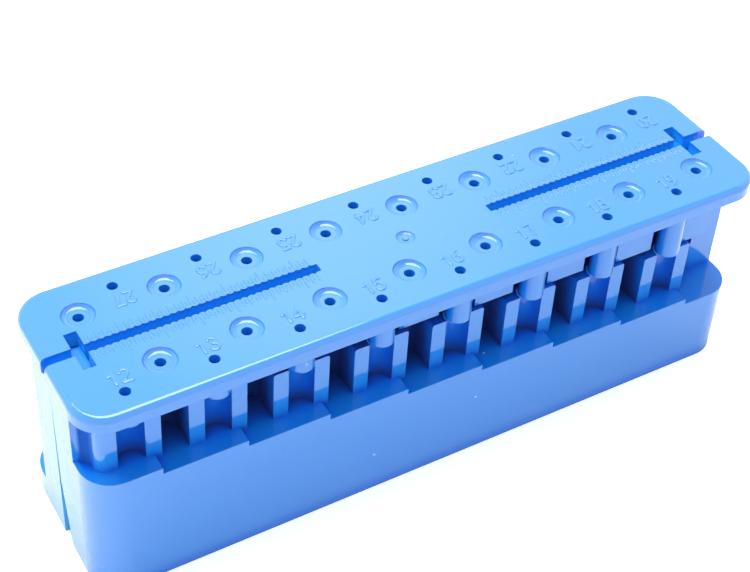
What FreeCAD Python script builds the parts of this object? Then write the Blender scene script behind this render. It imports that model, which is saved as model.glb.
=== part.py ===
"""Endodontic measuring block: a guide plate seated on a stepped base.

A file is dropped through a hole of the guide plate until its tip stands on a
ledge of the base. Each ledge lies one step deeper than the one before, so the
file is set to a whole length through a plain hole, or to half a step less
through a sunk hole. Millimetres, +Z up, origin at the centre of the underside.
"""
import FreeCAD, Part
import os

V = FreeCAD.Vector
UP = V(0, 0, 1)

# Lengths that the block measures
STATIONS = 8              # plain holes on each long side
DEPTH_STEP = 1.0          # from one ledge to the next
FIRST_DEPTH = 12.0        # top surface to the highest ledge
LAST_FLOOR = 4.5          # plastic left under the deepest ledge

# Rows of holes
PITCH = 12.0              # between plain holes of one side
PLAIN_ROW = 9.0           # plain hole to the middle plane
SUNK_ROW = 6.0            # sunk hole to the middle plane
HOLE_BORE = 1.5
SUNK_BORE = 4.5

# Guide plate
RIM_THICKNESS = 2.5
RIM_MARGIN = 3.6          # plain hole to the long edge
END_MARGIN = 7.2          # last sunk hole to the end edge
PLATE_CORNER = 4.8
PLATE_TOP_ROUND = 0.8
PLATE_LOWER_BEVEL = 0.25

# Guides under the plate
GUIDE_DEPTH = 4.05        # top surface to the lower end of the first guide
GUIDE_STEP = 0.9          # each station's guide is longer by this
BOSS_DIAMETER = 3.6
BOSS_SETOUT = 0.45        # boss axis beyond the plain hole
SLAB_WIDTH = 6.2
SLAB_END_WIDTH = 4.4      # the last slab of each side is cut short
SLAB_SETBACK = 0.6        # slab front behind the faces of the ribs
SLAB_END_ROUND = 0.9
GUIDE_CLEARANCE = 0.15    # guides to the base below and behind them

# Ruler slots in the plate
SLOT_WIDTH = 1.4
RULER_LENGTH = 33.0
RULER_UNIT = 1.0
NOTCH_WIDTH = 0.7
NOTCH_DEPTH = 0.18
ZERO_MARGIN = 5.85        # zero of the ruler to the end edge
CROSS_WIDTH = 1.75
CROSS_LENGTH = 6.8
GATE_DIAMETER = 2.6
GATE_DEPTH = 0.25
GATE_VESTIGE = 0.9

# Base
END_LIP = 0.6             # plate past the end of the base
SIDE_LIP = 0.1            # plate past the side of the base
BASE_CORNER = 4.7         # runs beside the corner of the plate
RIB_SETOUT = 0.8          # face of the ribs beyond the plain holes
CHANNEL_WIDTH = 3.8
PLAIN_BACK_SETOUT = 0.4   # centre of the round back beyond the plain hole
CORE_SKIN = 0.1           # core in front of the backs of the sunk channels
END_WALL_SETOUT = 0.3     # face of the end wall beyond the sunk holes
END_WALL = 1.9
RIB_ROUND = 0.4
END_RIB_ROUND = 1.3
KEY_DEPTH = 1.6           # top surface to the top of a locating key
KEY_LENGTH = 4.4
KEY_CLEARANCE = 0.06
LINE_START = 5.0          # top surface to the start of the witness line
LINE_DEPTH = 0.3
LINE_RUN = 0.9
SEAM_START = 19.0         # top surface to where the line opens to a step
SEAM_DEPTH = 0.6
SEAM_RUN = 3.0
WALL = 2.0                # walls and roofs of the hollow underside

# Sizes that follow from the ones above
LAST_DEPTH = FIRST_DEPTH + 2 * STATIONS * DEPTH_STEP
HEIGHT = LAST_DEPTH + LAST_FLOOR
SEAT = HEIGHT - RIM_THICKNESS
SUNK_DEPTH = DEPTH_STEP / 2
HALF_ROW = (STATIONS - 0.5) * PITCH / 2
PLATE_HALF_LENGTH = HALF_ROW + END_MARGIN
PLATE_HALF_WIDTH = PLAIN_ROW + RIM_MARGIN
BASE_HALF_LENGTH = PLATE_HALF_LENGTH - END_LIP
BASE_HALF_WIDTH = PLATE_HALF_WIDTH - SIDE_LIP
RIB_FACE = PLAIN_ROW + RIB_SETOUT
RIB_WIDTH = PITCH / 2 - CHANNEL_WIDTH
CHANNEL_RADIUS = CHANNEL_WIDTH / 2
PLAIN_BACK = PLAIN_ROW + PLAIN_BACK_SETOUT
CORE_HALF = SUNK_ROW - CHANNEL_RADIUS - CORE_SKIN
END_WALL_FACE = SUNK_ROW + END_WALL_SETOUT
INNER_END = BASE_HALF_LENGTH - END_WALL
RULER_ZERO = PLATE_HALF_LENGTH - ZERO_MARGIN
OVERRUN = 1.0             # how far cutting tools pass the faces they cut
TOUCH = 0.01              # how near to a plane an edge is taken to lie on it


def plain_x(station):
    """Place of a plain hole along the block, on the front side."""
    return -HALF_ROW + station * PITCH


def sunk_x(station):
    """Place of the sunk hole that follows a plain hole."""
    return plain_x(station) + PITCH / 2


def guide_end(station, first):
    """Height of the lower end of a station's guides."""
    steps = station + (first - FIRST_DEPTH) / DEPTH_STEP
    return HEIGHT - GUIDE_DEPTH - steps * GUIDE_STEP


def box(x0, x1, y0, y1, z0, z1):
    return Part.makeBox(x1 - x0, y1 - y0, z1 - z0, V(x0, y0, z0))


def rod(radius, x, y, z0, z1):
    return Part.makeCylinder(radius, z1 - z0, V(x, y, z0), UP)


def rounded_block(half_length, half_width, corner, z0, z1):
    block = box(-half_length, half_length, -half_width, half_width, z0, z1)
    upright = [e for e in block.Edges if abs(e.tangentAt(e.FirstParameter).z) > 0.9]
    return block.makeFillet(corner, upright)


def joined(shapes):
    return shapes[0].multiFuse(shapes[1:]).removeSplitter()


def turned(shape):
    """The same shape on the other long side of the block."""
    copy = shape.copy()
    copy.rotate(V(0, 0, 0), UP, 180)
    return copy


def both_sides(make):
    """One bank for the front and one, going on deeper, for the back."""
    return make(FIRST_DEPTH) + [turned(s) for s in make(FIRST_DEPTH + STATIONS * DEPTH_STEP)]


def guides(first):
    """Round bosses and flat slabs that carry the holes down to the channels."""
    parts = []
    slab_front = -(RIB_FACE - SLAB_SETBACK)
    slab_back = -(CORE_HALF + GUIDE_CLEARANCE)
    for i in range(STATIONS):
        end = guide_end(i, first)
        parts.append(rod(BOSS_DIAMETER / 2, plain_x(i), -(PLAIN_ROW + BOSS_SETOUT), end, SEAT))
        left = sunk_x(i) - SLAB_WIDTH / 2
        last = i == STATIONS - 1
        right = left + (SLAB_END_WIDTH if last else SLAB_WIDTH)
        slab = box(left, right, slab_front, slab_back, end, SEAT)
        if last:
            outer = [e for e in slab.Edges
                     if e.BoundBox.XMin > right - TOUCH and e.BoundBox.ZMax < end + TOUCH]
            slab = slab.makeFillet(SLAB_END_ROUND, outer)
        parts.append(slab)
    return parts


def hole_tools(first):
    """Cutters for the bores and for the recesses round the sunk ones."""
    tools = []
    for i in range(STATIONS):
        end = guide_end(i, first) - OVERRUN
        tools.append(rod(HOLE_BORE / 2, plain_x(i), -PLAIN_ROW, end, HEIGHT + OVERRUN))
        tools.append(rod(HOLE_BORE / 2, sunk_x(i), -SUNK_ROW, end, HEIGHT + OVERRUN))
        tools.append(rod(SUNK_BORE / 2, sunk_x(i), -SUNK_ROW, HEIGHT - SUNK_DEPTH, HEIGHT + OVERRUN))
    return tools


def ruler_slot():
    """Slot with a small notch on both edges at each unit of the ruler."""
    half = SLOT_WIDTH / 2
    low = SEAT - OVERRUN
    edge = [V(RULER_ZERO + OVERRUN, half, low)]
    for k in range(1, int(RULER_LENGTH / RULER_UNIT)):
        middle = RULER_ZERO - k * RULER_UNIT
        edge += [V(middle + NOTCH_WIDTH / 2, half, low),
                 V(middle, half + NOTCH_DEPTH, low),
                 V(middle - NOTCH_WIDTH / 2, half, low)]
    edge.append(V(RULER_ZERO - RULER_LENGTH, half, low))
    other = [V(p.x, -p.y, p.z) for p in reversed(edge)]
    outline = Part.makePolygon(edge + other + edge[:1])
    return Part.Face(outline).extrude(V(0, 0, RIM_THICKNESS + 2 * OVERRUN))


def slot_tools():
    """Ruler slot, cross slot and the way in from the end of the plate."""
    low, high = SEAT - OVERRUN, HEIGHT + OVERRUN
    cross = box(RULER_ZERO, RULER_ZERO + CROSS_WIDTH, -CROSS_LENGTH / 2, CROSS_LENGTH / 2, low, high)
    entry = box(RULER_ZERO, PLATE_HALF_LENGTH + OVERRUN, -SLOT_WIDTH / 2, SLOT_WIDTH / 2, low, high)
    one_end = joined([ruler_slot(), cross, entry])
    return [one_end, turned(one_end)]


def guide_plate():
    plate = rounded_block(PLATE_HALF_LENGTH, PLATE_HALF_WIDTH, PLATE_CORNER, SEAT, HEIGHT)
    plate = plate.makeFillet(PLATE_TOP_ROUND, [e for e in plate.Edges if e.BoundBox.ZMin > HEIGHT - TOUCH])
    plate = plate.makeChamfer(PLATE_LOWER_BEVEL, [e for e in plate.Edges if e.BoundBox.ZMax < SEAT + TOUCH])
    plate = joined([plate] + both_sides(guides))
    gate = rod(GATE_DIAMETER / 2, 0, 0, HEIGHT - GATE_DEPTH, HEIGHT + OVERRUN)
    gate = gate.cut(rod(GATE_VESTIGE / 2, 0, 0, 0, HEIGHT - GATE_DEPTH / 2))
    return plate.cut(both_sides(hole_tools) + slot_tools() + [gate]).removeSplitter()


def station_block(i, ledge, top):
    """Two ribs and the round-backed plain channel between them."""
    reach = CHANNEL_RADIUS + RIB_WIDTH
    left = -INNER_END if i == 0 else plain_x(i) - reach
    right = plain_x(i) + reach
    block = box(left, right, -RIB_FACE, -CORE_HALF + OVERRUN, ledge - OVERRUN, top)
    crest = [e for e in block.Edges
             if e.BoundBox.ZMin > top - TOUCH and e.BoundBox.XLength < TOUCH
             and (i > 0 or e.BoundBox.XMin > left + TOUCH)]
    block = block.makeFillet(RIB_ROUND, crest)
    if i == 0:
        corner = [e for e in block.Edges if e.BoundBox.ZLength > OVERRUN
                  and e.BoundBox.XMax < left + TOUCH and e.BoundBox.YMax < -RIB_FACE + TOUCH]
        block = block.makeFillet(END_RIB_ROUND, corner)
    channel = rod(CHANNEL_RADIUS, plain_x(i), -PLAIN_BACK, ledge, top + OVERRUN)
    mouth = box(plain_x(i) - CHANNEL_RADIUS, plain_x(i) + CHANNEL_RADIUS,
                -RIB_FACE - OVERRUN, -PLAIN_BACK, ledge, top + OVERRUN)
    return block.cut([channel, mouth])


def sunk_back(i, ledge, top):
    """Round back of the deep channel under a sunk hole."""
    half = CHANNEL_RADIUS + RIB_WIDTH / 2
    back = box(sunk_x(i) - half, sunk_x(i) + half, -SUNK_ROW, -CORE_HALF + OVERRUN, ledge - OVERRUN, top)
    return back.cut(rod(CHANNEL_RADIUS, sunk_x(i), -SUNK_ROW, ledge, top + OVERRUN))


def ledge_span(k):
    """Ends of a ledge along the block: it changes level behind the face of a rib."""
    left = -BASE_HALF_LENGTH if k == 0 else plain_x(k) - 3 * PITCH / 4
    right = BASE_HALF_LENGTH if k == STATIONS else plain_x(k) + PITCH / 4
    return left, right


def bank(first):
    """One long side of the base: ledges, ribs, channels and both end walls."""
    parts = [box(-BASE_HALF_LENGTH, BASE_HALF_LENGTH, -CORE_HALF, 0, 0, SEAT)]
    for k in range(STATIONS + 1):
        left, right = ledge_span(k)
        parts.append(box(left, right, -BASE_HALF_WIDTH, 0, 0, HEIGHT - first - k * DEPTH_STEP))
    for i in range(STATIONS):
        ledge = HEIGHT - first - (i + 1) * DEPTH_STEP
        top = guide_end(i, first) - GUIDE_CLEARANCE
        parts.append(station_block(i, ledge, top))
        parts.append(sunk_back(i, ledge, top))
    last_channel = sunk_x(STATIONS - 1)
    parts.append(box(last_channel + CHANNEL_RADIUS, BASE_HALF_LENGTH, -END_WALL_FACE, 0, 0, SEAT))
    parts.append(box(-BASE_HALF_LENGTH, -INNER_END, -END_WALL_FACE, 0, 0, SEAT))
    pocket = box(-BASE_HALF_LENGTH, -INNER_END, -END_WALL_FACE - END_WALL, -CORE_HALF,
                 0, guide_end(0, first) - GUIDE_CLEARANCE)
    parts.append(pocket.cut(rod(END_WALL, -BASE_HALF_LENGTH, -END_WALL_FACE - END_WALL,
                                HEIGHT - first, HEIGHT)))
    return parts


def hollow(first):
    """Space under one long side, its roof stepping down with the ledges."""
    parts = []
    for k in range(STATIONS + 1):
        left, right = ledge_span(k)
        if k < STATIONS:
            right -= WALL
        if k > 0:
            left -= WALL
        roof = HEIGHT - first - k * DEPTH_STEP - WALL
        parts.append(box(left, right, -BASE_HALF_WIDTH, 0, -OVERRUN, roof))
    return parts


def witness_wedge(start, depth, run):
    """Thin wedge on the middle line of the end wall, widest at its lower end."""
    x = -BASE_HALF_LENGTH
    tip = V(x, 0, HEIGHT - start)
    foot = V(x, 0, -OVERRUN)
    inner = V(x + depth, 0, -OVERRUN)
    run = V(x, -run, -OVERRUN)
    faces = [Part.Face(Part.makePolygon([a, b, c, a]))
             for a, b, c in ((tip, foot, inner), (tip, inner, run), (tip, run, foot), (foot, run, inner))]
    return Part.Solid(Part.Shell(faces))


def witness_step():
    """Where the two halves of the end wall don't quite meet."""
    return joined([witness_wedge(LINE_START, LINE_DEPTH, LINE_RUN),
                   witness_wedge(SEAM_START, SEAM_DEPTH, SEAM_RUN)])


def key():
    """Locating block of the base that stands in the plate's cross slot."""
    x = RULER_ZERO + KEY_CLEARANCE
    return box(x, RULER_ZERO + CROSS_WIDTH - KEY_CLEARANCE, -KEY_LENGTH / 2, KEY_LENGTH / 2,
               SEAT - OVERRUN, HEIGHT - KEY_DEPTH)


def base():
    outline = rounded_block(BASE_HALF_LENGTH, BASE_HALF_WIDTH, BASE_CORNER, 0, HEIGHT)
    body = joined(both_sides(bank)).common(outline)
    cavity = joined(both_sides(hollow) + [box(-BASE_HALF_LENGTH, BASE_HALF_LENGTH, -(CORE_HALF - WALL),
                                              CORE_HALF - WALL, -OVERRUN, SEAT - WALL)])
    inside = rounded_block(BASE_HALF_LENGTH - WALL, BASE_HALF_WIDTH - WALL, BASE_CORNER - WALL,
                           -OVERRUN, SEAT)
    body = body.cut([cavity.common(inside), witness_step(), turned(witness_step())])
    return joined([body, key(), turned(key())])


def main():
    os.makedirs("parts", exist_ok=True)
    for name, make in (("guide_plate", guide_plate), ("base", base)):
        shape = make()
        shape.exportStep("parts/" + name + ".step")
        print(name, "solids", len(shape.Solids), "valid", shape.isValid(),
              "volume", round(shape.Volume), "box", shape.BoundBox)


main()
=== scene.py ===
"""Looks of the endodontic measuring block: plastics, numerals, rulers and stage."""
import math
import bmesh
import bpy
from mathutils import Matrix, Vector


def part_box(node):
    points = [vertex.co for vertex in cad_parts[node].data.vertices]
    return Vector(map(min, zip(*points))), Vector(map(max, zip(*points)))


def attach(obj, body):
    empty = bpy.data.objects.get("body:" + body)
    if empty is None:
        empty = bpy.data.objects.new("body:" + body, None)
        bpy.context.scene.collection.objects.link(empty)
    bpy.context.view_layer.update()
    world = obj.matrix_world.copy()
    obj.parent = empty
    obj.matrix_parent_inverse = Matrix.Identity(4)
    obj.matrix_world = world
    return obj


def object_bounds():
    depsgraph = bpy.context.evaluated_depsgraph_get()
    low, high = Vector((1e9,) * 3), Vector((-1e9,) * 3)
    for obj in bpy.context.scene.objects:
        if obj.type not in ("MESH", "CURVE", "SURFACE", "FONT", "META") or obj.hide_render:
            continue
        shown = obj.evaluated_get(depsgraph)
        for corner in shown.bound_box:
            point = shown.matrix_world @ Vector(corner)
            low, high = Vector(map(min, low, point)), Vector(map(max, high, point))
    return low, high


bl_info = {
    "name": "Measuring Block Looks",
    "version": (1, 0, 0),
    "blender": (4, 5, 0),
    "location": "View3D > Sidebar > Measuring Block",
    "description": "Finishes the moulded plastic and adds numerals, rulers and the stage",
    "category": "Object",
}

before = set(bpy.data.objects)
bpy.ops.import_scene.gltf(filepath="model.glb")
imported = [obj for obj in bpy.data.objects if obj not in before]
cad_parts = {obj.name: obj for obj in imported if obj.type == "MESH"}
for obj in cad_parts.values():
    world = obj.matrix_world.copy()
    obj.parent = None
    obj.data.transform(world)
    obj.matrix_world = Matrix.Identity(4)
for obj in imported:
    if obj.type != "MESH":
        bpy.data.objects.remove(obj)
CAD_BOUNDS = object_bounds()

MM = 0.001
TOP = CAD_BOUNDS[1].z
END_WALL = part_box("base")[1].x

# Rows of holes and the gate recess in the plate
STATIONS = 8
PITCH = 12.0 * MM
HALF_ROW = 45.0 * MM
SUNK_ROW = 6.0 * MM
SUNK_BORE = 4.5 * MM
SUNK_DEPTH = 0.5 * MM
GATE_DIAMETER = 2.6 * MM
GATE_DEPTH = 0.25 * MM

# Rulers along the slots, whose zero lies at the outer end
RULER_ZERO = 46.35 * MM
RULER_MARKS = 32
RULER_UNIT = 1.0 * MM

# Places where the plastic changes its look: bounds of the painted shade, the painted glow and the painted
# seam light
RIM_BOTTOM = TOP - 2.6 * MM
SLOT_REACH = 3.6 * MM
END_FACE = END_WALL - 0.1 * MM
SEAM_FLOOR = END_WALL - 0.7 * MM
SEAM_RUN = 3.1 * MM
POCKET_SIDE = 49.6 * MM
POCKET_START = 6.4 * MM
POCKET_FLOOR = 20.7 * MM

# Optics of the plastic and its clear outer skin
PLASTIC_IOR = 1.3
COAT_IOR = 1.9
COAT_ROUGHNESS = 0.04
SKIN_STRENGTH = 0.28
SKIN_HEIGHT = 0.3 * MM
EDGE_SAMPLES = 6
OCCLUSION_SAMPLES = 12
SPECK_COLOUR = (0.5, 0.72, 1.0)

# Share of the coat that a shaded and a level face lose, and of the painted deep shade in a pocket
SHADE_DULLS = 0.6
LEVEL_DULLS = 0.7
POCKET_PAINTED_SHADE = 0.5

# Width over which a mask fades, how far up a level face looks, and how softly that starts
MASK_BLEND = 0.2 * MM
LEVEL = 0.85
LEVEL_BLEND = 0.1


# Properties

class BlockPlastic(bpy.types.PropertyGroup):
    """Colours and gloss of the moulded plastic."""
    pigment: bpy.props.FloatVectorProperty(
        name="Pigment", description="Colour of the plastic where light falls freely",
        subtype="COLOR", size=3, min=0, max=1, default=(0.012, 0.275, 0.88))
    # Painted shade: darker colour laid where neighbouring faces stand close and keep the light out
    shade: bpy.props.FloatVectorProperty(
        name="Shade", description="Colour where neighbouring faces stand close",
        subtype="COLOR", size=3, min=0, max=1, default=(0.004, 0.17, 0.84))
    # Painted light: brighter, clearer blue deep in the bores and slots, standing for light bouncing between
    # their close walls
    slot_painted_light: bpy.props.FloatVectorProperty(
        name="Slot Painted Light", description="Colour inside the bores and slots of the plate",
        subtype="COLOR", size=3, min=0, max=1, default=(0.014, 0.32, 0.85))
    # Painted shade: dark navy deep inside the channels below the plate
    channel_painted_shade: bpy.props.FloatVectorProperty(
        name="Channel Painted Shade", description="Colour inside the channels below the plate",
        subtype="COLOR", size=3, min=0, max=1, default=(0.03, 0.07, 0.27))
    # Painted glow: emission deep in the ruler slots that stands in for light through the plastic; the
    # plastic is no lamp
    painted_glow: bpy.props.FloatVectorProperty(
        name="Slot Painted Glow", description="Light that the plastic passes into the ruler slots",
        subtype="COLOR", size=3, min=0, max=1, default=(0.003, 0.05, 0.08))
    # Painted light: paler cyan in the witness step of the end walls, standing for light through the plastic
    # where the step lies in shade
    seam: bpy.props.FloatVectorProperty(
        name="Seam", description="Colour inside the witness step of the end walls",
        subtype="COLOR", size=3, min=0, max=1, default=(0.02, 0.42, 0.8))
    # Reach of the painted shade
    reach: bpy.props.FloatProperty(
        name="Recess Reach", description="How far a neighbouring face deepens the colour",
        subtype="DISTANCE", unit="LENGTH", min=0.5 * MM, default=6.0 * MM)
    gloss: bpy.props.FloatProperty(
        name="Roughness", description="Roughness of the moulded skin",
        subtype="FACTOR", min=0, max=1, default=0.2)
    edge: bpy.props.FloatProperty(
        name="Edge Round", description="Small round that the mould leaves on each edge",
        subtype="DISTANCE", unit="LENGTH", min=0, default=0.2 * MM)


class BlockRecesses(bpy.types.PropertyGroup):
    """Rounds inside the recesses of the sunk holes."""
    run: bpy.props.FloatProperty(
        name="Run", description="How far the fillet runs over the floor", subtype="DISTANCE",
        unit="LENGTH", default=0.7 * MM)
    rise: bpy.props.FloatProperty(
        name="Rise", description="How far the fillet rises up the wall", subtype="DISTANCE",
        unit="LENGTH", default=0.48 * MM)
    lift: bpy.props.FloatProperty(
        name="Lift", description="How far the fillet stands off wall and floor", subtype="DISTANCE",
        unit="LENGTH", default=0.01 * MM)


class BlockNumerals(bpy.types.PropertyGroup):
    """Raised numbers beside the plain holes."""
    height: bpy.props.FloatProperty(
        name="Height", description="Height of a numeral", subtype="DISTANCE",
        unit="LENGTH", default=2.1 * MM)
    width: bpy.props.FloatProperty(
        name="Width", description="Width of one figure", subtype="DISTANCE",
        unit="LENGTH", default=1.15 * MM)
    gap: bpy.props.FloatProperty(
        name="Gap", description="Space between two figures", subtype="DISTANCE",
        unit="LENGTH", default=0.47 * MM)
    stroke: bpy.props.FloatProperty(
        name="Stroke", description="Half width of a stroke", subtype="DISTANCE",
        unit="LENGTH", default=0.25 * MM)
    relief: bpy.props.FloatProperty(
        name="Relief", description="Height of the strokes over the plate", subtype="DISTANCE",
        unit="LENGTH", default=0.1 * MM)
    front_row: bpy.props.FloatProperty(
        name="Front Row", description="Middle of the front numerals from the middle of the block",
        subtype="DISTANCE", unit="LENGTH", default=6.45 * MM)
    back_row: bpy.props.FloatProperty(
        name="Back Row", description="Middle of the back numerals from the middle of the block",
        subtype="DISTANCE", unit="LENGTH", default=6.15 * MM)
    front_shift: bpy.props.FloatProperty(
        name="Front Shift", description="Front numerals to the right of their holes",
        subtype="DISTANCE", unit="LENGTH", default=0.25 * MM)
    back_shift: bpy.props.FloatProperty(
        name="Back Shift", description="Back numerals to the right of their holes",
        subtype="DISTANCE", unit="LENGTH", default=0.45 * MM)


class BlockRulers(bpy.types.PropertyGroup):
    """Graduations along the ruler slots."""
    long_mark: bpy.props.FloatProperty(
        name="Long Mark", description="Length of each fifth mark", subtype="DISTANCE",
        unit="LENGTH", default=1.8 * MM)
    mark: bpy.props.FloatProperty(
        name="Mark", description="Length of a whole mark", subtype="DISTANCE",
        unit="LENGTH", default=1.25 * MM)
    half_mark: bpy.props.FloatProperty(
        name="Half Mark", description="Length of a half mark", subtype="DISTANCE",
        unit="LENGTH", default=0.85 * MM)
    width: bpy.props.FloatProperty(
        name="Width", description="Width of a mark at the plate", subtype="DISTANCE",
        unit="LENGTH", default=0.27 * MM)
    relief: bpy.props.FloatProperty(
        name="Relief", description="Height of a mark", subtype="DISTANCE",
        unit="LENGTH", default=0.045 * MM)
    start: bpy.props.FloatProperty(
        name="Start", description="Foot of the marks from the middle of the slot",
        subtype="DISTANCE", unit="LENGTH", default=1.0 * MM)


class BlockStage(bpy.types.PropertyGroup):
    """Floor, lamps and camera."""
    floor: bpy.props.FloatVectorProperty(
        name="Floor", description="Colour of the table", subtype="COLOR", size=3,
        min=0, max=1, default=(0.9, 0.92, 0.95))
    lift: bpy.props.FloatProperty(
        name="Backdrop Lift", description="Brightness of the table that only the camera sees",
        min=0, default=0.55)
    mirror: bpy.props.FloatProperty(
        name="Mirrored Lift", description="Brightness of the table that reflections see",
        min=0, default=0.1)
    sky: bpy.props.FloatProperty(
        name="Sky", description="Strength of the plain light from all round", min=0, default=0.75)
    lens: bpy.props.FloatProperty(
        name="Lens", description="Focal length", subtype="DISTANCE_CAMERA", default=77.09)


# Helpers for meshes

def add_object(name, mesh, material):
    """A piece on the block's own body, with its finish."""
    mesh.materials.append(material)
    piece = bpy.data.objects.new(name, mesh)
    bpy.context.scene.collection.objects.link(piece)
    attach(piece, "root")
    return piece


def dress(node, material):
    """Gives a solid of the block its finish."""
    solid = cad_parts[node]
    solid.data.materials.clear()
    solid.data.materials.append(material)


def line(*points):
    """Points joined by straight strokes."""
    return [Vector((x, y, 0)) for x, y in points]


def arc(cx, cy, rx, ry, start, stop, steps):
    """Points along an oval arc, angles in degrees."""
    points = []
    for k in range(steps + 1):
        a = math.radians(start + (stop - start) * k / steps)
        points.append(Vector((cx + rx * math.cos(a), cy + ry * math.sin(a), 0)))
    return points


def figure_strokes(figure):
    """Centre lines of a plain figure in a cell 1 wide and 2 high."""
    six = [arc(0.98, 0.72, 0.94, 1.28, 100, 180, 10) + arc(0.5, 0.62, 0.46, 0.62, 180, 540, 26)[1:]]
    figures = {
        0: [arc(0.5, 1.0, 0.48, 1.0, 90, 450, 32)],
        1: [line((0.12, 1.5), (0.44, 1.68), (0.6, 1.98)), line((0.6, 2.0), (0.6, 0.0))],
        2: [arc(0.5, 1.5, 0.46, 0.5, 172, -28, 16) + line((0.04, 0.0)), line((0.04, 0.0), (1.0, 0.0))],
        3: [arc(0.46, 1.52, 0.43, 0.48, 155, -90, 16), arc(0.46, 0.54, 0.5, 0.54, 90, -158, 18)],
        4: [line((0.76, 0.0), (0.76, 2.0)), line((0.74, 1.98), (0.0, 0.6)), line((0.0, 0.58), (1.0, 0.58))],
        5: [line((0.92, 2.0), (0.2, 2.0), (0.12, 1.16)), arc(0.46, 0.66, 0.5, 0.66, 128, -152, 18)],
        6: six,
        7: [line((0.02, 2.0), (0.98, 2.0)), line((0.96, 1.98), (0.62, 1.2), (0.42, 0.0))],
        8: [arc(0.5, 1.52, 0.4, 0.48, 90, 450, 24), arc(0.5, 0.53, 0.48, 0.53, 90, 450, 26)],
        9: [[Vector((1.0 - p.x, 2.0 - p.y, 0)) for p in stroke] for stroke in six],
    }
    return figures[figure]


# Shape of a ridge: fullness of its crown, turns in degrees of the rings that round its ends,
# and the least cosine that a corner's mitre follows
CROWN = 0.45
END_TURNS = (28, 55, 80)
MITRE_LIMIT = 0.6


def rounded_ridge(bm, points, half_width, relief, facets=8):
    """Low ridge with a full crown along a line of points, with round ends."""
    closed = (points[0] - points[-1]).length < half_width * 0.1
    if closed:
        points = points[:-1]
    count = len(points)
    rings = []

    def ring(centre, side, scale, shift):
        verts = []
        for k in range(facets + 1):
            a = math.pi * k / facets
            offset = side * (math.cos(a) * half_width * scale)
            rise = relief * scale * math.sin(a) ** CROWN
            verts.append(bm.verts.new(centre + shift + offset + Vector((0, 0, rise))))
        return verts

    for i, point in enumerate(points):
        before = points[i - 1] if i or closed else point
        after = points[(i + 1) % count] if i < count - 1 or closed else point
        along = (after - before).normalized()
        side = Vector((-along.y, along.x, 0))
        turn = (point - before).normalized().dot(along) if point != before else 1.0
        spread = 1 / max(turn, MITRE_LIMIT)
        if not closed and i == 0:
            for degrees in reversed(END_TURNS):
                a = math.radians(degrees)
                rings.append(ring(point, side, math.cos(a), -along * half_width * math.sin(a)))
        rings.append(ring(point, side * spread, 1.0, Vector()))
        if not closed and i == count - 1:
            for degrees in END_TURNS:
                a = math.radians(degrees)
                rings.append(ring(point, side, math.cos(a), along * half_width * math.sin(a)))
    pairs = list(zip(rings, rings[1:]))
    if closed:
        pairs.append((rings[-1], rings[0]))
    for one, other in pairs:
        for k in range(facets):
            bm.faces.new((one[k], other[k], other[k + 1], one[k + 1]))
        bm.faces.new((one[0], one[facets], other[facets], other[0]))
    if not closed:
        bm.faces.new(rings[0])
        bm.faces.new(list(reversed(rings[-1])))


def finished_mesh(bm, name):
    """A mesh of the faces made so far, all turned outwards."""
    bmesh.ops.recalc_face_normals(bm, faces=bm.faces)
    mesh = bpy.data.meshes.new(name)
    bm.to_mesh(mesh)
    bm.free()
    return mesh


def smooth_mesh(bm, name):
    """A finished mesh with every face smooth."""
    for face in bm.faces:
        face.smooth = True
    return finished_mesh(bm, name)


# Node groups

def new_group(name, inputs, outputs):
    """An empty shader node group with named sockets."""
    group = bpy.data.node_groups.new(name, "ShaderNodeTree")
    for label, kind, default in inputs:
        socket = group.interface.new_socket(label, in_out="INPUT", socket_type=kind)
        socket.default_value = default
    for label, kind in outputs:
        group.interface.new_socket(label, in_out="OUTPUT", socket_type=kind)
    return group, group.nodes.new("NodeGroupInput"), group.nodes.new("NodeGroupOutput")


def add_node(tree, kind, **settings):
    """A shader node with its settings."""
    node = tree.nodes.new(kind)
    for key, value in settings.items():
        setattr(node, key, value)
    return node


def recess_group():
    """Masks of painted shade from how deep a point lies among its neighbours: among close faces, and deep
    inside.
    """
    group, given, result = new_group(
        "painted_recess_shade",
        [("Reach", "NodeSocketFloat", 6.0 * MM), ("Open", "NodeSocketFloat", 0.72),
         ("Shaded", "NodeSocketFloat", 0.48), ("Closed", "NodeSocketFloat", 0.25)],
        [("Shade", "NodeSocketFloat"), ("Deep", "NodeSocketFloat")])
    occlusion = add_node(group, "ShaderNodeAmbientOcclusion", samples=OCCLUSION_SAMPLES)
    links = group.links
    links.new(given.outputs["Reach"], occlusion.inputs["Distance"])
    for start, stop, label in (("Open", "Shaded", "Shade"), ("Shaded", "Closed", "Deep")):
        span = add_node(group, "ShaderNodeMapRange", interpolation_type="SMOOTHSTEP")
        links.new(occlusion.outputs["AO"], span.inputs["Value"])
        links.new(given.outputs[start], span.inputs["From Min"])
        links.new(given.outputs[stop], span.inputs["From Max"])
        links.new(span.outputs["Result"], result.inputs[label])
    return group


def limit_group():
    """Mask that rises from 0 to 1 where a value passes a limit."""
    group, given, result = new_group(
        "past_limit",
        [("Place", "NodeSocketFloat", 0.0), ("Limit", "NodeSocketFloat", 0.0),
         ("Blend", "NodeSocketFloat", MASK_BLEND)],
        [("Mask", "NodeSocketFloat")])
    beyond = add_node(group, "ShaderNodeMath", operation="SUBTRACT")
    share = add_node(group, "ShaderNodeMath", operation="DIVIDE", use_clamp=True)
    links = group.links
    links.new(given.outputs["Place"], beyond.inputs[0])
    links.new(given.outputs["Limit"], beyond.inputs[1])
    links.new(beyond.outputs[0], share.inputs[0])
    links.new(given.outputs["Blend"], share.inputs[1])
    links.new(share.outputs[0], result.inputs["Mask"])
    return group


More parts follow.
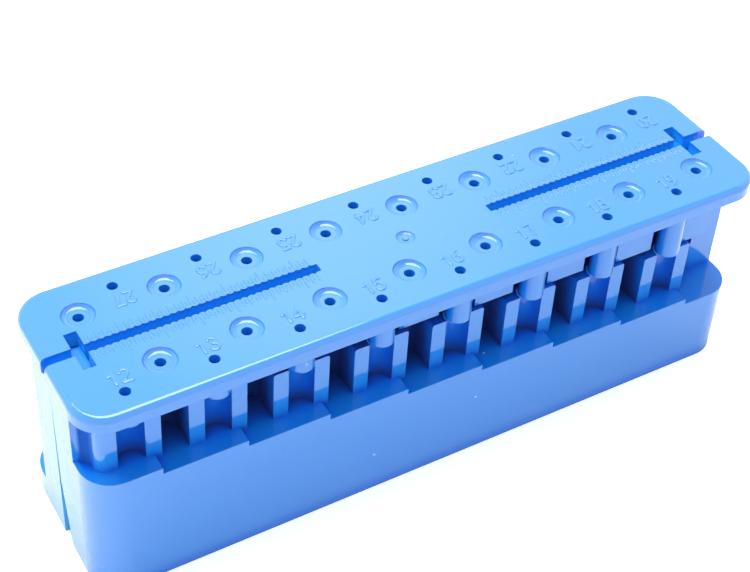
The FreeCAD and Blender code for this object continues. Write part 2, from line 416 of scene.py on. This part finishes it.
def skin_group():
    """Moulded skin: slow waves from the flow, a faint grain, and a few pale specks."""
    group, given, result = new_group(
        "moulded_skin",
        [("Wave Scale", "NodeSocketFloat", 170.0), ("Grain Scale", "NodeSocketFloat", 1500.0),
         ("Grain Share", "NodeSocketFloat", 0.008), ("Roughness", "NodeSocketFloat", 0.2),
         ("Roughness Swing", "NodeSocketFloat", 0.1), ("Speck Scale", "NodeSocketFloat", 130.0),
         ("Speck Size", "NodeSocketFloat", 0.03), ("Speck Core", "NodeSocketFloat", 0.01)],
        [("Height", "NodeSocketFloat"), ("Roughness", "NodeSocketFloat"), ("Specks", "NodeSocketFloat")])
    links = group.links
    place = add_node(group, "ShaderNodeTexCoord")
    wave = add_node(group, "ShaderNodeTexNoise")
    wave.inputs["Detail"].default_value = 1.0
    grain = add_node(group, "ShaderNodeTexNoise")
    grain.inputs["Detail"].default_value = 3.0
    for noise, scale in ((wave, "Wave Scale"), (grain, "Grain Scale")):
        links.new(place.outputs["Object"], noise.inputs["Vector"])
        links.new(given.outputs[scale], noise.inputs["Scale"])
    height = add_node(group, "ShaderNodeMath", operation="MULTIPLY_ADD")
    links.new(grain.outputs["Fac"], height.inputs[0])
    links.new(given.outputs["Grain Share"], height.inputs[1])
    links.new(wave.outputs["Fac"], height.inputs[2])
    links.new(height.outputs[0], result.inputs["Height"])
    rough = add_node(group, "ShaderNodeMath", operation="MULTIPLY_ADD")
    links.new(wave.outputs["Fac"], rough.inputs[0])
    links.new(given.outputs["Roughness Swing"], rough.inputs[1])
    links.new(given.outputs["Roughness"], rough.inputs[2])
    links.new(rough.outputs[0], result.inputs["Roughness"])
    cells = add_node(group, "ShaderNodeTexVoronoi", feature="F1")
    links.new(place.outputs["Object"], cells.inputs["Vector"])
    links.new(given.outputs["Speck Scale"], cells.inputs["Scale"])
    near = add_node(group, "ShaderNodeMapRange", interpolation_type="SMOOTHSTEP")
    links.new(given.outputs["Speck Size"], near.inputs["From Min"])
    links.new(given.outputs["Speck Core"], near.inputs["From Max"])
    links.new(cells.outputs["Distance"], near.inputs["Value"])
    links.new(near.outputs["Result"], result.inputs["Specks"])
    return group


def shared_group(name, build):
    """A node group that is built once, when it is first asked for."""
    return bpy.data.node_groups.get(name) or build()


def place_group(tree, group, **values):
    """A group placed in a material, with that material's own values."""
    node = add_node(tree, "ShaderNodeGroup", node_tree=group)
    for key, value in values.items():
        node.inputs[key.replace("_", " ")].default_value = value
    return node


def blend_colour(tree, factor, first, second):
    """Mix of two colours by a mask; a colour is a value or an output socket."""
    mix = add_node(tree, "ShaderNodeMix", data_type="RGBA", clamp_factor=True)
    tree.links.new(factor, mix.inputs["Factor"])
    for label, colour in (("A", first), ("B", second)):
        socket = [s for s in mix.inputs if s.name == label and s.type == "RGBA"][0]
        if isinstance(colour, bpy.types.NodeSocket):
            tree.links.new(colour, socket)
        else:
            socket.default_value = (*colour, 1.0)
    return [s for s in mix.outputs if s.type == "RGBA"][0]


def place_along(tree, axis, magnitude=False):
    """Distance along one axis of the block, or from its middle."""
    place = add_node(tree, "ShaderNodeTexCoord")
    parts = add_node(tree, "ShaderNodeSeparateXYZ")
    tree.links.new(place.outputs["Object"], parts.inputs[0])
    if not magnitude:
        return parts.outputs[axis]
    size = add_node(tree, "ShaderNodeMath", operation="ABSOLUTE")
    tree.links.new(parts.outputs[axis], size.inputs[0])
    return size.outputs[0]


def facing_up(tree):
    """How far a face of the block looks up, from -1 for down to 1 for up."""
    place = add_node(tree, "ShaderNodeTexCoord")
    parts = add_node(tree, "ShaderNodeSeparateXYZ")
    tree.links.new(place.outputs["Normal"], parts.inputs[0])
    return parts.outputs["Z"]


def past(tree, place, limit, blend=MASK_BLEND):
    """Mask of the part of the block past a limit."""
    mask = place_group(tree, shared_group("past_limit", limit_group), Limit=limit, Blend=blend)
    tree.links.new(place, mask.inputs["Place"])
    return mask.outputs["Mask"]


def without(tree, mask, other):
    """A mask less what another one covers."""
    rest = add_node(tree, "ShaderNodeMath", operation="SUBTRACT", use_clamp=True)
    tree.links.new(mask, rest.inputs[0])
    tree.links.new(other, rest.inputs[1])
    return rest.outputs[0]


def both(tree, mask, other):
    """What two masks have in common."""
    shared = add_node(tree, "ShaderNodeMath", operation="MULTIPLY")
    tree.links.new(mask, shared.inputs[0])
    tree.links.new(other, shared.inputs[1])
    return shared.outputs[0]


def with_more(tree, mask, other, share):
    """A mask and a share of another one."""
    total = add_node(tree, "ShaderNodeMath", operation="MULTIPLY_ADD", use_clamp=True)
    total.inputs[1].default_value = share
    tree.links.new(other, total.inputs[0])
    tree.links.new(mask, total.inputs[2])
    return total.outputs[0]


# Materials

def new_plastic(name, look, edge=0.0):
    """Blue plastic with its moulded skin, whose colour, roughness and coat are still open."""
    material = bpy.data.materials.new(name)
    material.use_nodes = True
    tree = material.node_tree
    shader = tree.nodes["Principled BSDF"]
    shader.inputs["IOR"].default_value = PLASTIC_IOR
    shader.inputs["Coat IOR"].default_value = COAT_IOR
    shader.inputs["Coat Roughness"].default_value = COAT_ROUGHNESS
    skin = place_group(tree, shared_group("moulded_skin", skin_group), Roughness=look.gloss)
    bump = add_node(tree, "ShaderNodeBump")
    bump.inputs["Strength"].default_value = SKIN_STRENGTH
    bump.inputs["Distance"].default_value = SKIN_HEIGHT
    tree.links.new(skin.outputs["Height"], bump.inputs["Height"])
    tree.links.new(bump.outputs["Normal"], shader.inputs["Normal"])
    if edge:
        rounded = add_node(tree, "ShaderNodeBevel", samples=EDGE_SAMPLES)
        rounded.inputs["Radius"].default_value = edge
        tree.links.new(rounded.outputs["Normal"], bump.inputs["Normal"])
    return material, tree, shader, skin


def recess_masks(tree, look):
    """Masks of painted shade: of faces in shade and of faces deep inside."""
    recess = place_group(tree, shared_group("painted_recess_shade", recess_group), Reach=look.reach)
    return recess.outputs["Shade"], recess.outputs["Deep"]


def deepened_colour(tree, bare, layers):
    """A bare colour under layers of a mask and a colour each: dust specks, painted shade and painted light.
    """
    for mask, colour in layers:
        bare = blend_colour(tree, mask, bare, colour)
    return bare


def coat_outside(tree, shader, covered):
    """Clear outer skin wherever a mask leaves the plastic open."""
    coat = add_node(tree, "ShaderNodeMath", operation="SUBTRACT", use_clamp=True)
    coat.inputs[0].default_value = 1.0
    tree.links.new(covered, coat.inputs[1])
    tree.links.new(coat.outputs[0], shader.inputs["Coat Weight"])


def plate_plastic(look):
    """Plastic of the guide plate: painted shade in the channels, painted bounce light and painted glow in
    bores and ruler slots.
    """
    material, tree, shader, skin = new_plastic("plate_plastic", look, look.edge)
    shade, deep = recess_masks(tree, look)
    in_plate = past(tree, place_along(tree, "Z"), RIM_BOTTOM)
    # Painted shade deep in the channels, painted bounce light deep in the bores and slots
    depth = blend_colour(tree, in_plate, look.channel_painted_shade, look.slot_painted_light)
    # Painted glow deep in the ruler slots, where the plastic shines though it is no lamp
    beside = past(tree, place_along(tree, "Y", magnitude=True), SLOT_REACH)
    painted_glow = blend_colour(tree, without(tree, deep, beside), (0, 0, 0), look.painted_glow)
    layers = ((skin.outputs["Specks"], SPECK_COLOUR), (shade, look.shade), (deep, depth))
    colour = deepened_colour(tree, look.pigment, layers)
    tree.links.new(colour, shader.inputs["Base Color"])
    tree.links.new(skin.outputs["Roughness"], shader.inputs["Roughness"])
    tree.links.new(painted_glow, shader.inputs["Emission Color"])
    shader.inputs["Emission Strength"].default_value = 1.0
    coat_outside(tree, shader, with_more(tree, deep, shade, SHADE_DULLS))
    return material


def base_plastic(look):
    """Plastic of the base: painted light in the seams of the end walls, painted shade and full roughness in
    the end pockets, painted shade in the channels, little coat on ledges.
    """
    material, tree, shader, skin = new_plastic("base_plastic", look, look.edge)
    shade, deep = recess_masks(tree, look)
    ends = place_along(tree, "X", magnitude=True)
    sides = place_along(tree, "Y", magnitude=True)
    height = place_along(tree, "Z")
    pocket = both(tree, past(tree, ends, POCKET_SIDE), past(tree, sides, POCKET_START))
    pocket = both(tree, pocket, past(tree, height, POCKET_FLOOR))
    key_top = past(tree, height, RIM_BOTTOM)
    end_wall = without(tree, past(tree, ends, SEAM_FLOOR), pocket)
    # Painted light: the witness step of each end wall takes the paler seam colour
    seam = without(tree, end_wall, past(tree, ends, END_FACE))
    seam = without(tree, seam, past(tree, sides, SEAM_RUN))
    # Painted shade: the end pockets take the full shade colour and half the deep channel colour
    shade = with_more(tree, without(tree, shade, end_wall), pocket, 1.0)
    deep = with_more(tree, without(tree, deep, end_wall), pocket, POCKET_PAINTED_SHADE)
    shade = without(tree, shade, key_top)
    deep = without(tree, deep, key_top)
    layers = ((seam, look.seam), (skin.outputs["Specks"], SPECK_COLOUR),
              (shade, look.shade), (deep, look.channel_painted_shade))
    colour = deepened_colour(tree, look.pigment, layers)
    tree.links.new(colour, shader.inputs["Base Color"])
    roughness = with_more(tree, skin.outputs["Roughness"], pocket, 1.0)
    tree.links.new(roughness, shader.inputs["Roughness"])
    level = past(tree, facing_up(tree), LEVEL, LEVEL_BLEND)
    covered = with_more(tree, deep, shade, SHADE_DULLS)
    coat_outside(tree, shader, with_more(tree, covered, level, LEVEL_DULLS))
    return material


def raised_plastic(look):
    """Plastic of the fillets, numerals and graduations, made once: plain pigment, full coat."""
    made = bpy.data.materials.get("raised_plastic")
    if made:
        return made
    material, tree, shader, skin = new_plastic("raised_plastic", look)
    colour = blend_colour(tree, skin.outputs["Specks"], look.pigment, SPECK_COLOUR)
    tree.links.new(colour, shader.inputs["Base Color"])
    tree.links.new(skin.outputs["Roughness"], shader.inputs["Roughness"])
    shader.inputs["Coat Weight"].default_value = 1.0
    return material


# Operators

class FinishPlate(bpy.types.Operator):
    """Gives the guide plate its glossy plastic."""
    bl_idname = "measuring_block.finish_plate"
    bl_label = "Finish Guide Plate"

    def execute(self, context):
        dress("guide_plate", plate_plastic(context.scene.block_plastic))
        return {"FINISHED"}


class FinishBase(bpy.types.Operator):
    """Gives the stepped base its glossy plastic."""
    bl_idname = "measuring_block.finish_base"
    bl_label = "Finish Base"

    def execute(self, context):
        dress("base", base_plastic(context.scene.block_plastic))
        return {"FINISHED"}


class RoundRecesses(bpy.types.Operator):
    """Lays the fillets in the recesses of the sunk holes and in the gate recess."""
    bl_idname = "measuring_block.round_recesses"
    bl_label = "Round Recesses"

    AROUND = 64
    ACROSS = 10

    # Reach of a fillet's foot over the floor, share of the lift by which its back sinks
    # towards the floor, and size of the gate's fillet beside the others
    FOOT = 0.1 * MM
    SINK = 0.8
    GATE_SHARE = 0.5

    def section(self, radius, size, share):
        """Hollow quarter oval from the wall to the floor, closed behind, as radius and height."""
        run, rise, below = size.run * share, size.rise * share, -self.SINK * size.lift
        points = []
        for k in range(self.ACROSS + 1):
            a = math.pi / 2 * k / self.ACROSS
            points.append((radius - run + run * math.cos(a), rise - rise * math.sin(a)))
        foot = radius - run - self.FOOT
        return points + [(foot, 0.0), (foot, below), (radius, below)]

    def ring(self, bm, centre, section):
        """The section turned once round a centre."""
        rows = []
        for j in range(self.AROUND):
            turn = math.tau * j / self.AROUND
            out = Vector((math.cos(turn), math.sin(turn), 0))
            rows.append([bm.verts.new(centre + out * r + Vector((0, 0, z))) for r, z in section])
        count = len(section)
        for j in range(self.AROUND):
            one, other = rows[j], rows[(j + 1) % self.AROUND]
            for k in range(count):
                m = (k + 1) % count
                face = bm.faces.new((one[k], other[k], other[m], one[m]))
                face.smooth = k <= self.ACROSS

    def execute(self, context):
        size = context.scene.block_recesses
        bm = bmesh.new()
        section = self.section(SUNK_BORE / 2 - size.lift, size, 1.0)
        for side in (1, -1):
            for station in range(STATIONS):
                x = side * (-HALF_ROW + (station + 0.5) * PITCH)
                floor = Vector((x, -side * SUNK_ROW, TOP - SUNK_DEPTH + size.lift))
                self.ring(bm, floor, section)
        gate = Vector((0, 0, TOP - GATE_DEPTH + size.lift))
        self.ring(bm, gate, self.section(GATE_DIAMETER / 2 - size.lift, size, self.GATE_SHARE))
        material = raised_plastic(context.scene.block_plastic)
        add_object("recess_fillets", finished_mesh(bm, "recess_fillets"), material)
        return {"FINISHED"}


class AddNumerals(bpy.types.Operator):
    """Raises a two-figure number beside each plain hole."""
    bl_idname = "measuring_block.add_numerals"
    bl_label = "Add Numerals"

    FRONT_START = 12
    BACK_START = 20

    def number(self, bm, size, value, middle, turned):
        """Two figures about a middle; turned ones are laid half a turn round the block."""
        step = size.width + size.gap
        for place, figure in enumerate(divmod(value, 10)):
            across = place * step - (step + size.width) / 2
            corner = middle + Vector((across, -size.height / 2, 0))
            for stroke in figure_strokes(figure):
                points = [corner + Vector((p.x * size.width, p.y * size.height / 2, 0))
                          for p in stroke]
                if turned:
                    points = [Vector((-p.x, -p.y, p.z)) for p in points]
                rounded_ridge(bm, points, size.stroke, size.relief)

    def row(self, name, material, size, start, across, shift, turned):
        """One row of numbers, a piece of its own."""
        bm = bmesh.new()
        for station in range(STATIONS):
            middle = Vector((-HALF_ROW + station * PITCH + shift, -across, TOP))
            self.number(bm, size, start + station, middle, turned)
        add_object(name, smooth_mesh(bm, name), material)

    def execute(self, context):
        size = context.scene.block_numerals
        material = raised_plastic(context.scene.block_plastic)
        self.row("numerals_front", material, size, self.FRONT_START,
                 size.front_row, size.front_shift, False)
        self.row("numerals_back", material, size, self.BACK_START,
                 size.back_row, -size.back_shift, True)
        return {"FINISHED"}


class AddRulers(bpy.types.Operator):
    """Raises the graduations on both sides of each ruler slot."""
    bl_idname = "measuring_block.add_rulers"
    bl_label = "Add Rulers"

    def length(self, size, halves):
        """Length of the mark that stands a number of half units from zero."""
        if halves % 10 == 0:
            return size.long_mark
        return size.mark if halves % 2 == 0 else size.half_mark

    def execute(self, context):
        size = context.scene.block_rulers
        material = raised_plastic(context.scene.block_plastic)
        for name, side in (("ruler_left", -1), ("ruler_right", 1)):
            bm = bmesh.new()
            for halves in range(1, 2 * RULER_MARKS + 1):
                x = side * (RULER_ZERO - halves * RULER_UNIT / 2)
                length = self.length(size, halves)
                for edge in (-1, 1):
                    foot = Vector((x, edge * size.start, TOP))
                    tip = Vector((x, edge * (size.start + length), TOP))
                    rounded_ridge(bm, [foot, tip], size.width / 2, size.relief, facets=4)
            add_object(name, smooth_mesh(bm, name), material)
        return {"FINISHED"}


class SetStage(bpy.types.Operator):
    """Makes the white table, the soft lamps and the camera."""
    bl_idname = "measuring_block.set_stage"
    bl_label = "Set Stage"

    # Camera, fitted to the holes, the plate's ends and the risers in the photograph;
    # the sensor's width is in millimetres
    CAMERA_PLACE = (-0.092621, -0.136389, 0.174285)
    CAMERA_RIGHT = (0.880782, -0.473151, 0.018764)
    CAMERA_AHEAD = (0.376026, 0.674798, -0.635021)
    CAMERA_SHIFT = (0.1013, -0.1205)
    CAMERA_RANGE = (0.01, 10.0)
    SENSOR = 36.0

    # Pale window that the level top mirrors to the camera, and the sky's fall towards overhead:
    # where each starts and ends, and its brightness at both
    WINDOW = (0.382, 0.689, 0.616)
    WINDOW_BAND = (0.985, 0.9995, 0.0, 0.75)
    OVERHEAD_BAND = (0.7, 0.78, 1.25, 0.85)
    SKY_COLOUR = (0.93, 0.97, 1.0)

    # Direction, distance, width and length, and exposure of each lamp
    LEFT_LAMP = ((-0.57, 0.82, 1.1), 0.65, (0.45, 0.45), 0.66)
    TOP_LAMP = ((0.083, 0.275, 0.961), 0.71, (0.34, 0.5), 0.5)

    TABLE_HALF = 3.0
    TABLE_ROUGHNESS = 0.6

    def floor(self, stage):
        """Table whose added brightness only the camera and reflections see."""
        bm = bmesh.new()
        bmesh.ops.create_grid(bm, x_segments=1, y_segments=1, size=self.TABLE_HALF)
        mesh = bpy.data.meshes.new("table")
        bm.to_mesh(mesh)
        bm.free()
        table = bpy.data.objects.new("table", mesh)
        bpy.context.scene.collection.objects.link(table)
        material = bpy.data.materials.new("table_white")
        material.use_nodes = True
        tree = material.node_tree
        shader = tree.nodes["Principled BSDF"]
        shader.inputs["Base Color"].default_value = (*stage.floor, 1)
        shader.inputs["Roughness"].default_value = self.TABLE_ROUGHNESS
        shader.inputs["Emission Color"].default_value = (1, 1, 1, 1)
        path = add_node(tree, "ShaderNodeLightPath")
        mirrored = add_node(tree, "ShaderNodeMath", operation="MULTIPLY")
        mirrored.inputs[1].default_value = stage.mirror
        tree.links.new(path.outputs["Is Glossy Ray"], mirrored.inputs[0])
        lift = add_node(tree, "ShaderNodeMath", operation="MULTIPLY_ADD")
        lift.inputs[1].default_value = stage.lift
        tree.links.new(path.outputs["Is Camera Ray"], lift.inputs[0])
        tree.links.new(mirrored.outputs[0], lift.inputs[2])
        tree.links.new(lift.outputs[0], shader.inputs["Emission Strength"])
        table.data.materials.append(material)

    def ramp(self, tree, value, start, stop, first, last):
        """A brightness that goes from one level to another between two limits."""
        span = add_node(tree, "ShaderNodeMapRange")
        for label, level in (("From Min", start), ("From Max", stop), ("To Min", first), ("To Max", last)):
            span.inputs[label].default_value = level
        tree.links.new(value, span.inputs["Value"])
        return span.outputs["Result"]

    def backdrop(self, tree, colour, strength):
        """One look of the sky; its strength is a value or an output socket."""
        shader = add_node(tree, "ShaderNodeBackground")
        shader.inputs["Color"].default_value = (*colour, 1)
        if isinstance(strength, bpy.types.NodeSocket):
            tree.links.new(strength, shader.inputs["Strength"])
        else:
            shader.inputs["Strength"].default_value = strength
        return shader.outputs[0]

    def sky(self, stage):
        """Sky with a look of its own for light, for reflections and for the camera."""
        world = bpy.data.worlds.new("studio")
        bpy.context.scene.world = world
        world.use_nodes = True
        tree = world.node_tree
        tree.nodes.clear()
        place = add_node(tree, "ShaderNodeTexCoord")
        parts = add_node(tree, "ShaderNodeSeparateXYZ")
        tree.links.new(place.outputs["Generated"], parts.inputs[0])
        overhead = self.ramp(tree, parts.outputs["Z"], *self.OVERHEAD_BAND)
        towards = add_node(tree, "ShaderNodeVectorMath", operation="DOT_PRODUCT")
        towards.inputs[1].default_value = self.WINDOW
        tree.links.new(place.outputs["Generated"], towards.inputs[0])
        window = self.ramp(tree, towards.outputs["Value"], *self.WINDOW_BAND)
        mirrored = add_node(tree, "ShaderNodeMath", operation="ADD")
        tree.links.new(overhead, mirrored.inputs[0])
        tree.links.new(window, mirrored.inputs[1])
        path = add_node(tree, "ShaderNodeLightPath")
        light = self.backdrop(tree, self.SKY_COLOUR, stage.sky)
        mirror = self.backdrop(tree, (1, 1, 1), mirrored.outputs[0])
        shown = self.backdrop(tree, (1, 1, 1), 1.0)
        for ray, other in (("Is Glossy Ray", mirror), ("Is Camera Ray", shown)):
            mix = add_node(tree, "ShaderNodeMixShader")
            tree.links.new(path.outputs[ray], mix.inputs[0])
            tree.links.new(light, mix.inputs[1])
            tree.links.new(other, mix.inputs[2])
            light = mix.outputs[0]
        output = add_node(tree, "ShaderNodeOutputWorld")
        tree.links.new(light, output.inputs["Surface"])

    def lamp(self, name, towards, distance, size, exposure):
        """Soft lamp aimed at the block; an exposure of 1 shows a colour as written."""
        data = bpy.data.lights.new(name, "AREA")
        data.shape = "RECTANGLE"
        data.size, data.size_y = size
        data.energy = exposure * math.pi ** 2 * distance ** 2
        lamp = bpy.data.objects.new(name, data)
        direction = Vector(towards).normalized()
        middle = Vector((0, 0, TOP / 2))
        lamp.location = middle + direction * distance
        lamp.rotation_euler = direction.to_track_quat("Z", "Y").to_euler()
        bpy.context.scene.collection.objects.link(lamp)
        return lamp

    def camera(self, stage):
        """Camera at the photograph's viewing angle."""
        data = bpy.data.cameras.new("camera")
        data.sensor_width = self.SENSOR
        data.lens = stage.lens
        data.shift_x, data.shift_y = self.CAMERA_SHIFT
        data.clip_start, data.clip_end = self.CAMERA_RANGE
        camera = bpy.data.objects.new("camera", data)
        right = Vector(self.CAMERA_RIGHT).normalized()
        back = -Vector(self.CAMERA_AHEAD).normalized()
        up = back.cross(right).normalized()
        turn = Matrix((right, up, back)).transposed().to_4x4()
        camera.matrix_world = Matrix.Translation(self.CAMERA_PLACE) @ turn
        bpy.context.scene.collection.objects.link(camera)
        bpy.context.scene.camera = camera

    def execute(self, context):
        stage = context.scene.block_stage
        context.scene.view_settings.view_transform = "Standard"
        self.floor(stage)
        self.sky(stage)
        left = self.lamp("left_lamp", *self.LEFT_LAMP)
        left.visible_glossy = False
        self.lamp("top_lamp", *self.TOP_LAMP)
        self.camera(stage)
        return {"FINISHED"}


class BlockPanel(bpy.types.Panel):
    """Lists the pieces and the stage."""
    bl_idname = "VIEW3D_PT_measuring_block"
    bl_label = "Measuring Block"
    bl_space_type = "VIEW_3D"
    bl_region_type = "UI"
    bl_category = "Measuring Block"

    def draw(self, context):
        layout = self.layout
        for name in GROUPS:
            group = getattr(context.scene, name)
            box = layout.box()
            for key in group.__annotations__:
                box.prop(group, key)
        for operator in OPERATORS:
            layout.operator(operator.bl_idname)


GROUPS = {"block_plastic": BlockPlastic, "block_recesses": BlockRecesses,
          "block_numerals": BlockNumerals, "block_rulers": BlockRulers, "block_stage": BlockStage}
OPERATORS = (FinishPlate, FinishBase, RoundRecesses, AddNumerals, AddRulers, SetStage)


def register():
    """Registers the settings, the operators and the panel."""
    for cls in (*GROUPS.values(), *OPERATORS, BlockPanel):
        bpy.utils.register_class(cls)
    for name, group in GROUPS.items():
        setattr(bpy.types.Scene, name, bpy.props.PointerProperty(type=group))


def unregister():
    """Takes them away again."""
    for name in GROUPS:
        delattr(bpy.types.Scene, name)
    for cls in (BlockPanel, *reversed(OPERATORS), *reversed(GROUPS.values())):
        bpy.utils.unregister_class(cls)


def main():
    """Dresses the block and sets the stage."""
    register()
    bpy.ops.measuring_block.finish_plate()
    bpy.ops.measuring_block.finish_base()
    bpy.ops.measuring_block.round_recesses()
    bpy.ops.measuring_block.add_numerals()
    bpy.ops.measuring_block.add_rulers()
    bpy.ops.measuring_block.set_stage()


if __name__ == "__main__":
    main()
